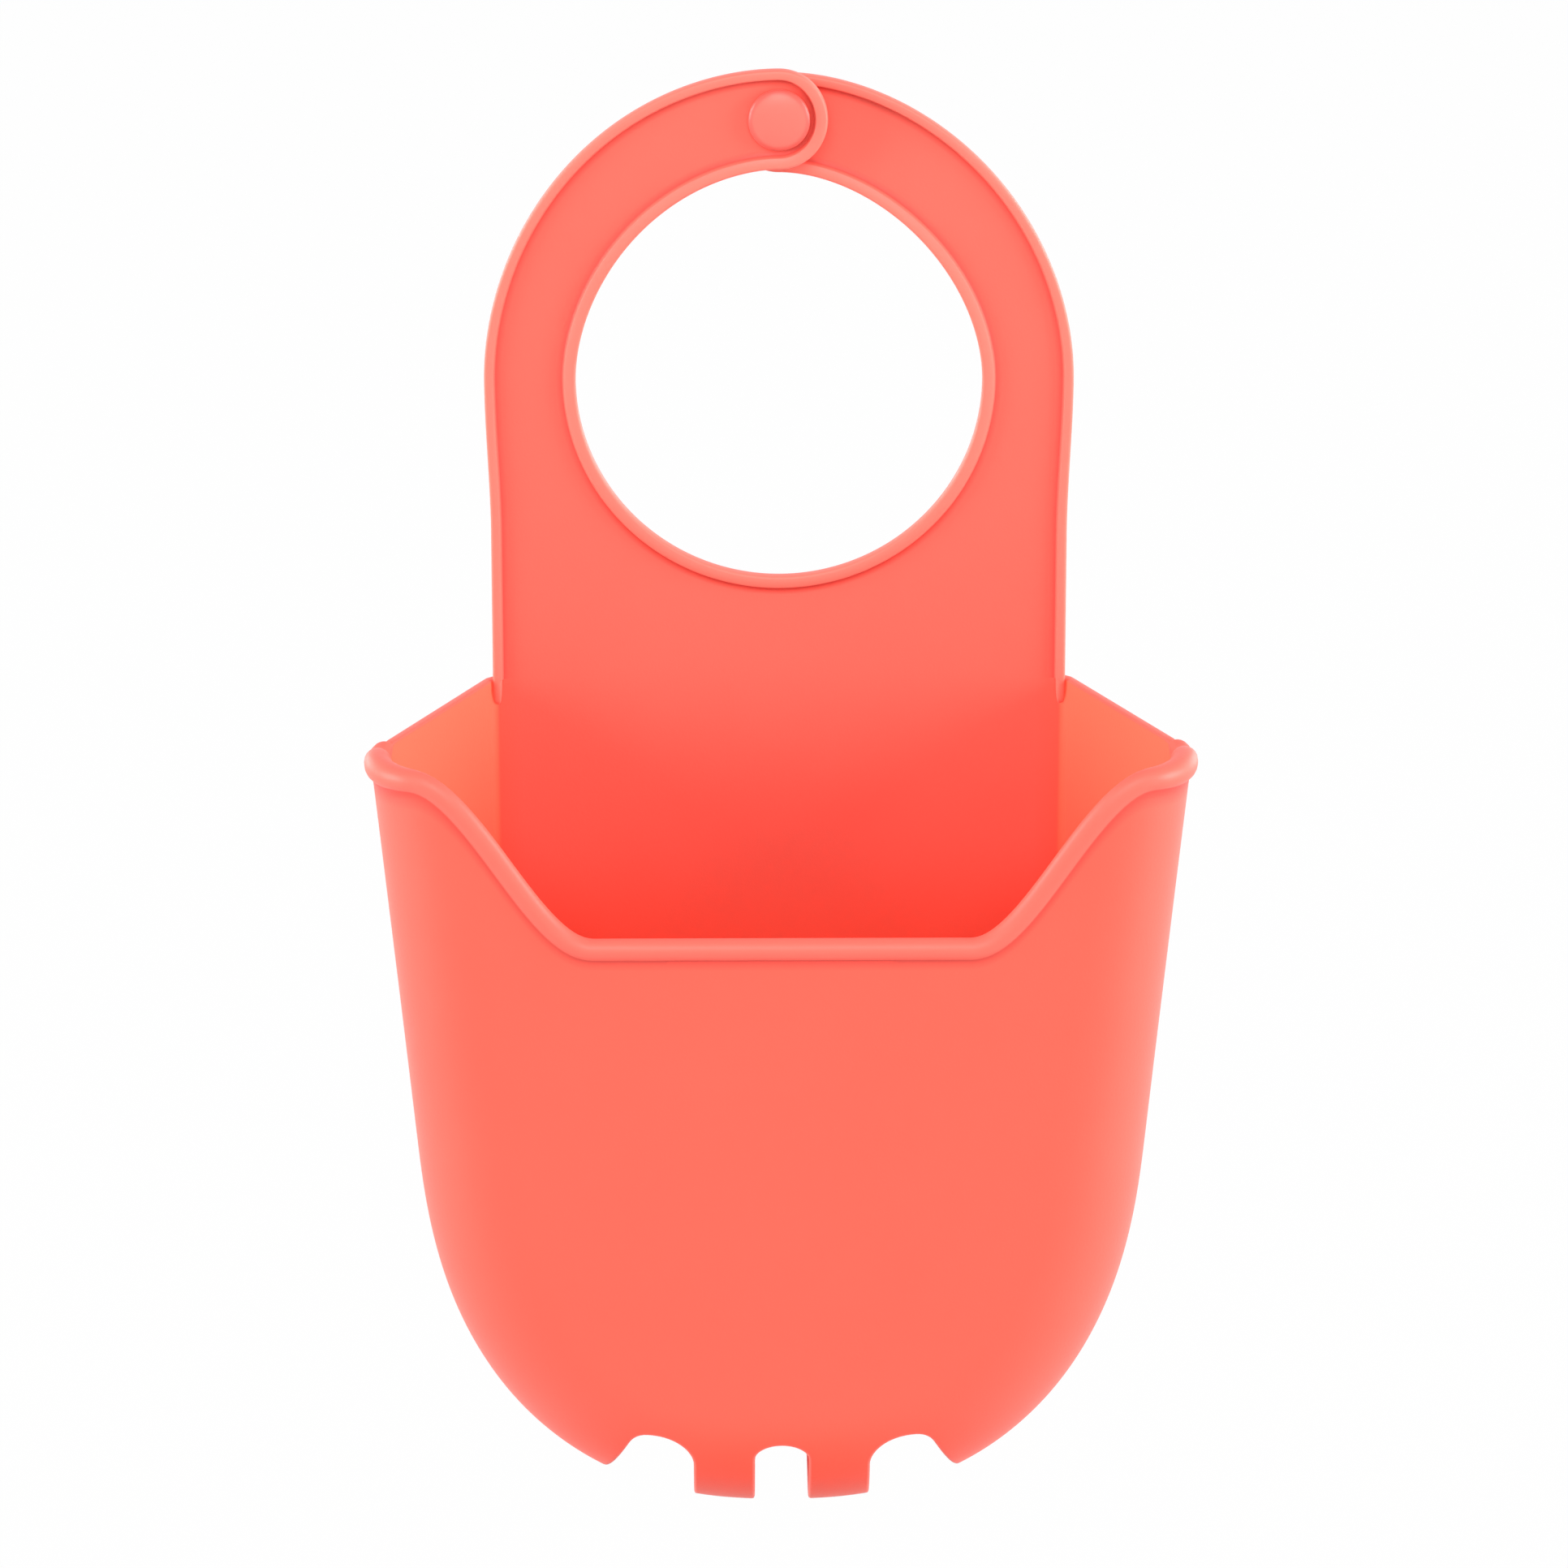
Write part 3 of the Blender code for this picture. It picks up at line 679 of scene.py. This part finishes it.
def strap_loops(drop):
    """The strap's sections from its root to past the ring's top, and then round its tip.

    Round the tip each point of the section swings a quarter turn down to the band's middle line, as
    far out as the tip reaches there, and the upper and lower halves meet on that line.
    """
    outer_rise, inner_rise = ring_rise - drop, hole_rise - drop
    middle = (outer_rise + inner_rise) / 2
    angles = np.linspace(0, math.pi / 2, ring_sections)
    outer = ring_curve(ring_half_width, outer_rise, ring_exponent, angles)
    hole = ring_curve(hole_radius, inner_rise, hole_exponent, angles)
    loops, depths, shades = band_section(outer, hole)
    lap = smoothstep(lap_quickness * (1 - outer[:, 0] / ring_half_width))

    turns = np.linspace(0, math.pi / 2, tip_sections + 1)[1:]
    height = loops[-1, :, 1] - middle
    bead_reach = tip_reach - hole_distance
    web_reach = bead_reach[0] * np.abs(np.linspace(-1, 1, web_columns)[1:-1])
    reach = np.concatenate((bead_reach, web_reach, bead_reach[::-1], web_reach))
    tip = np.stack((-reach[None] * np.sin(turns)[:, None],
                    middle + height[None] * np.cos(turns)[:, None]), -1)
    return np.vstack((loops, tip)), depths, shades, np.concatenate((lap, np.ones(len(turns))))


def make_strap(name, side, drop, offset):
    """A strap: sections along the ring's upper edge, moved forwards or backwards by the lap."""
    loops, depths, shades, lap = strap_loops(drop)
    y = depths[None] + offset * lap[:, None]
    points = np.stack((side * loops[..., 0], y, loops[..., 1]), -1)
    count = loops.shape[1]
    faces = list(grid_quads(len(loops), count, around=True))
    faces.append(np.arange(count)[::-1])
    piece = add_piece(name + "_skin", points.reshape(-1, 3), faces, np.tile(shades, (len(loops), 1)))
    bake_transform(piece)
    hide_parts(name)
    return piece


def panel_half_width_at(z):
    """Half the panel's width at a height: it widens at the shoulder to meet the ring."""
    return panel_half_width + (ring_half_width - panel_half_width) * smoothstep(1 + z / shoulder_drop)


def panel_half(side_rays=46, foot_rays=40, field_columns=14):
    """The right half of the panel, on rays from the hole's edge.

    The first rays end on the side bead, whose section goes on level to the side's edge, and the
    others end on the line where the pocket's back wall takes over. Its top is closed where the
    strap takes over.
    """
    bead_line = side_distance[0]
    corner = np.array((panel_half_width - bead_line, rim_z))
    heights = rim_z * np.linspace(0, 1, side_rays)
    side_ends = np.column_stack((panel_half_width_at(heights) - bead_line, heights))
    foot = corner[0] * (1 - np.linspace(0, 1, foot_rays + 1)[1:])
    ends = np.vstack((side_ends, np.column_stack((foot, np.full(foot_rays, rim_z)))))
    turns = -np.linspace(0, math.pi / 2, len(ends))
    inner_radius = hole_radius + hole_distance
    hole_x = np.cos(turns)[:, None] * inner_radius[None]
    hole_z = np.sin(turns)[:, None] * inner_radius[None]
    hole_x[-1] = 0
    start = np.column_stack((hole_x[:, 0], hole_z[:, 0]))
    share = np.linspace(0, 1, field_columns)
    field = start[:, None] + (ends - start)[:, None] * share[None, :, None]

    def with_depth(points, depth):
        """XZ points as points of space, at one depth."""
        return np.stack((points[..., 0], np.broadcast_to(depth, points.shape[:-1]), points[..., 1]), -1)

    front = with_depth(field, -web)
    back = with_depth(field, 0.0)
    hole = np.stack((hole_x, np.broadcast_to(hole_depths, hole_x.shape), hole_z), -1)
    side_x = side_ends[:, 0, None] + bead_line - side_distance[None]
    side = np.stack((side_x, np.broadcast_to(side_depths, side_x.shape),
                     np.broadcast_to(heights[:, None], side_x.shape)), -1)
    blocks = (front, back, hole, side)
    front_count = field.shape[0] * field.shape[1]
    shades = (shade_columns(2 * front_count), np.tile(hole_shades, (len(hole), 1)),
              np.tile(side_shades, (len(side), 1)))
    faces, indices, first = [], [], 0
    for block in blocks:
        faces += list(grid_quads(*block.shape[:2], first))
        indices.append(first + np.arange(block.shape[0] * block.shape[1]).reshape(block.shape[:2]))
        first += indices[-1].size
    front_index, back_index, hole_index, side_index = indices
    # The foot: the last points of the front and back fields, and the side bead's last section
    foot_front, foot_back = front_index[side_rays - 1:, -1], back_index[side_rays - 1:, -1]
    faces += list(np.stack((foot_front[:-1], foot_front[1:], foot_back[1:], foot_back[:-1]), -1))
    faces.append(side_index[-1])
    # The top: round the first ray's section
    faces.append(np.concatenate((side_index[0], back_index[0, -2:0:-1], hole_index[0, ::-1],
                                 front_index[0, 1:-1])))
    points = np.vstack([block.reshape(-1, 3) for block in blocks])
    return points, faces, np.vstack(shades)


def make_panel():
    """The hanger panel with the lower half of the hole."""
    piece = add_piece("hanger_panel_skin", *both_sides(*panel_half()))
    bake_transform(piece)
    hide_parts("hanger_panel")
    return piece


# Press stud

def rounded(profile, radius, steps=5):
    """The profile with each inner corner turned into a parabola's arc that starts a radius away."""
    corner, before, after = profile[1:-1], profile[:-2], profile[2:]
    shorter = np.minimum(np.linalg.norm(before - corner, axis=1), np.linalg.norm(after - corner, axis=1))
    reach = np.minimum(radius, most_round_share * shorter)[:, None]
    enter = corner + unit(before - corner) * reach
    leave = corner + unit(after - corner) * reach
    t = np.linspace(0, 1, steps)[None, :, None]
    arcs = (1 - t) ** 2 * enter[:, None] + 2 * t * (1 - t) * corner[:, None] + t ** 2 * leave[:, None]
    return np.vstack((profile[:1], arcs.reshape(-1, 2), profile[-1:]))


def cap_profile(dome_points=16):
    """A shallow dome over a round edge, and the post under it.

    The dome's radius follows the sine and its height the cosine of a quarter turn, each raised to its
    own power.
    """
    turns = np.linspace(0, math.pi / 2, dome_points)
    dome = np.column_stack((cap_radius * np.sin(turns) ** dome_fullness,
                            cap_edge + (cap_rise - cap_edge) * np.cos(turns) ** dome_flatness))
    foot = np.array(((cap_radius, cap_edge), (cap_radius, 0), (post_radius, 0), (post_radius, -post_length),
                     (0, -post_length)))
    return np.vstack((dome[:-1], rounded(foot, stud_edge_round)))


def ring_profile(corners):
    """A closed profile of a turned ring, from its corners, with its edges rounded."""
    corners = np.array(corners)
    looped = np.vstack((corners[-1:], corners, corners[:1]))
    return rounded(looped, stud_edge_round)[1:-1]


def make_turned(name, body, profile, closed, y, facing, columns=72):
    """A piece turned about the stud's axis, facing forwards (1) or backwards (-1), with painted shade that
    reddens a cap's edge.
    """
    around = np.linspace(0, 2 * math.pi, columns, endpoint=False)
    radius, height = profile[:, :1], profile[:, 1:]
    points = np.stack((radius * np.cos(around), np.repeat(y - facing * height, columns, 1),
                       stud_z + radius * np.sin(around)), -1)
    if closed:
        points = np.concatenate((points, points[:1]))
    # Painted shade: redder towards the cap's radius, on each turned piece
    from_axis = np.hypot(points[..., 0], points[..., 2] - stud_z).ravel()
    edge_shade_share = smoothstep((from_axis / cap_radius - cap_edge_shade_start_share)
                      / (cap_edge_shade_end_share - cap_edge_shade_start_share))
    piece = add_piece(name + "_skin", points.reshape(-1, 3), list(grid_quads(*points.shape[:2], around=True)),
                      shade_columns(points[..., 0].size, crease_shade=cap_edge_shade * edge_shade_share))
    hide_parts(name)
    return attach(piece, body)


def make_press_stud():
    """Cap and socket on the left strap, stud and back cap on the right one."""
    socket = ((post_hole_radius, socket_thickness), (socket_radius, socket_thickness), (socket_radius, 0),
              (cavity_radius, 0), (cavity_radius, socket_thickness - socket_base),
              (post_hole_radius, socket_thickness - socket_base))
    stud = ((post_hole_radius, bulb_rise), (bulb_radius, bulb_rise), (bulb_radius, stud_flange),
            (stud_radius, stud_flange), (stud_radius, 0), (post_hole_radius, 0))
    return [
        make_turned("snap_cap", "left_strap", cap_profile(), False, -lap_offset - web - clearance, 1),
        make_turned("snap_socket", "left_strap", ring_profile(socket), True,
                    -lap_offset + clearance + socket_thickness, 1),
        make_turned("snap_stud", "right_strap", ring_profile(stud), True, lap_offset - web - clearance, 1),
        make_turned("snap_back_cap", "right_strap", cap_profile(), False, lap_offset + clearance, -1),
    ]


# Finishes

class Wired:
    """A shader socket that can be used in sums: each operator adds a Math node."""

    def __init__(self, nodes, socket):
        self.nodes = nodes
        self.socket = socket

    def maths(self, operation, first, second):
        return self.nodes.node("ShaderNodeMath", {"operation": operation}, {0: first, 1: second})

    def __add__(self, other):
        return self.maths("ADD", self, other)

    def __mul__(self, other):
        return self.maths("MULTIPLY", self, other)

    def __sub__(self, other):
        return self.maths("SUBTRACT", self, other)

    def __rsub__(self, other):
        return self.maths("SUBTRACT", other, self)

    __radd__ = __add__
    __rmul__ = __mul__


class Nodes:
    """The nodes of a material or of the world."""

    def __init__(self, tree):
        self.tree = tree

    def node(self, kind, settings, sockets, output=0):
        """Add a node: its settings first, then the values or links of its sockets."""
        made = self.tree.nodes.new(kind)
        for key, value in settings.items():
            setattr(made, key, value)
        self.feed(made, sockets)
        return Wired(self, made.outputs[output])

    def feed(self, node, sockets):
        """Give some sockets of a node their values or links."""
        for key, value in sockets.items():
            if isinstance(value, Wired):
                self.tree.links.new(value.socket, node.inputs[key])
            else:
                node.inputs[key].default_value = value

    def colour(self, factor, low, high):
        """A mix of two colours."""
        return self.node("ShaderNodeMix", {"data_type": "RGBA"}, {0: factor, 6: low, 7: high}, output=2)

    def noise(self, place, scale, detail):
        """A cloudy value about a half."""
        return self.node("ShaderNodeTexNoise", {}, {"Vector": place, "Scale": scale, "Detail": detail})

    def attribute(self, label):
        """One of the shades that a piece's points carry."""
        return self.node("ShaderNodeAttribute", {"attribute_name": label}, {}, output="Fac")


def new_material(name):
    """A material, its nodes and its shader."""
    material = bpy.data.materials.new(name)
    material.use_nodes = True
    return material, Nodes(material.node_tree), material.node_tree.nodes["Principled BSDF"]


def tinted(colour, tint):
    """A colour times a tint."""
    return tuple(np.multiply(colour, tint))


def rubber_finish(name, body_colour, highlight_colour, roughness):
    """Satin coral rubber: cloudy colour, painted highlights on lips and beads, painted shade that reddens
    creases, depths and the pocket's foot and front, painted light through the walls, and a fine moulded
    grain.

    The first shade's two halves, painted highlight above 0 and painted shade under 0, drive one mix each,
    because a mix takes a factor under 0 as 0.
    """
    material, nodes, shader = new_material(name)
    place = nodes.node("ShaderNodeTexCoord", {}, {}, output="Object")
    cloud = nodes.noise(place, cloud_scale, cloud_detail)
    grain = nodes.noise(place, grain_scale, fine_detail)
    ripple = nodes.noise(place, ripple_scale, fine_detail)
    highlight_and_shade = nodes.attribute("highlight_and_shade")
    base = nodes.colour(cloud, tinted(body_colour, cloud_tint), body_colour)
    # Painted light through the walls, painted highlight on lips and beads, painted shade deep inside, at the
    # foot, on the front and in corners, and a painted shade line at the beads' feet and the cap's edge
    base = nodes.colour(nodes.attribute("warmth"), base, tinted(body_colour, warm_tint))
    base = nodes.colour(highlight_and_shade * highlight_share, base, highlight_colour)
    base = nodes.colour(highlight_and_shade * -1.0, base, tinted(body_colour, deep_shade_tint))
    base = nodes.colour(nodes.attribute("crease_shade"), base, tinted(body_colour, crease_shade_tint))
    gloss = (cloud - 0.5) * cloud_gloss + (grain - 0.5) * grain_gloss
    bump = nodes.node("ShaderNodeBump", {}, {"Strength": bump_strength, "Distance": bump_distance,
                                             "Height": grain + ripple * ripple_weight})
    nodes.feed(shader, {"Base Color": base, "Roughness": roughness + gloss, "Normal": bump,
                        "Specular IOR Level": specular_level, "Sheen Weight": sheen_weight,
                        "Sheen Roughness": sheen_roughness})
    return material


# Studio

def look_down():
    """The camera at the photograph's angle, a little to the left of straight in front."""
    camera = bpy.data.cameras.new("camera")
    camera.sensor_width = sensor_width
    camera.lens = sensor_width * focal_length_in_pixels / photo_width
    item = new_object("camera", camera)
    level = camera_distance * math.cos(camera_elevation)
    item.location = (camera_target[0] - level * math.sin(camera_turn),
                     camera_target[1] - level * math.cos(camera_turn),
                     camera_target[2] + camera_distance * math.sin(camera_elevation))
    item.rotation_euler = (math.pi / 2 - camera_elevation, 0, -camera_turn)
    bpy.context.scene.camera = item


def area_lamp(name, place, size, power):
    """A round lamp that faces the object."""
    lamp = bpy.data.lights.new(name, "AREA")
    lamp.shape = "DISK"
    lamp.size = size
    lamp.energy = power
    item = new_object(name, lamp)
    item.location = place
    item.rotation_euler = (Vector(lamp_target) - Vector(place)).to_track_quat("-Z", "Y").to_euler()


def seen_directly(nodes):
    """1 for rays from the camera, from gloss or through glass, and 0 for light on the object."""
    seen = 0.0
    for ray in ("Is Camera Ray", "Is Glossy Ray", "Is Transmission Ray"):
        path = nodes.node("ShaderNodeLightPath", {}, {}, output=ray)
        seen = nodes.node("ShaderNodeMath", {"operation": "MAXIMUM"}, {0: seen, 1: path})
    return seen


def white_world():
    """A world that shows white and lights the object at a plain level."""
    world = bpy.data.worlds.new("studio")
    world.use_nodes = True
    bpy.context.scene.world = world
    nodes = Nodes(world.node_tree)
    lit = world.node_tree.nodes["Background"]
    nodes.feed(lit, {"Color": white, "Strength": world_light})
    shown = nodes.node("ShaderNodeBackground", {}, {"Color": white, "Strength": 1.0})
    mix = nodes.node("ShaderNodeMixShader", {}, {0: seen_directly(nodes), 1: Wired(nodes, lit.outputs[0]),
                                                 2: shown})
    nodes.feed(world.node_tree.nodes["World Output"], {"Surface": mix})


def pale_floor():
    """A pale floor under the object, which shows white and keeps a faint shadow."""
    corners = [(x * floor_half_size, y * floor_half_size, floor_z - floor_gap)
               for x, y in ((-1, -1), (1, -1), (1, 1), (-1, 1))]
    mesh = bpy.data.meshes.new("floor")
    mesh.from_pydata(corners, [], [(0, 1, 2, 3)])
    material, nodes, shader = new_material("floor")
    nodes.feed(shader, {"Base Color": floor_colour, "Roughness": floor_roughness})
    glow = nodes.node("ShaderNodeEmission", {}, {})
    mix = nodes.node("ShaderNodeMixShader", {}, {0: seen_directly(nodes) * floor_glow_share,
                                                 1: Wired(nodes, shader.outputs[0]), 2: glow})
    nodes.feed(material.node_tree.nodes["Material Output"], {"Surface": mix})
    mesh.materials.append(material)
    new_object("floor", mesh)


bpy.context.scene.view_settings.view_transform = "Standard"
look_down()
white_world()
pale_floor()
area_lamp("key_lamp", (0.0, -1.2, 0.75), 0.9, 10.7)
area_lamp("left_lamp", (-1.15, -0.3, 0.2), 0.7, 13.0)
area_lamp("right_lamp", (1.15, -0.3, 0.2), 0.7, 15.3)
area_lamp("left_back_lamp", (-1.0, 1.0, 0.0), 0.9, 7.0)
area_lamp("right_back_lamp", (1.0, 1.0, 0.0), 0.9, 7.0)

# Each finish's second colour is its painted highlight on lips and beads
rubber = rubber_finish("coral_rubber", (1.0, 0.139, 0.099, 1), (1.0, 0.250, 0.190, 1), 0.46)
stud_plastic = rubber_finish("coral_stud", (1.0, 0.172, 0.132, 1), (1.0, 0.25, 0.20, 1), 0.36)

moulded = [make_pocket(), make_panel(), make_strap("left_strap", -1, 0.0, -lap_offset),
           make_strap("right_strap", 1, right_strap_drop, lap_offset)]
for piece in moulded:
    piece.data.materials.append(rubber)
for piece in make_press_stud():
    piece.data.materials.append(stud_plastic)
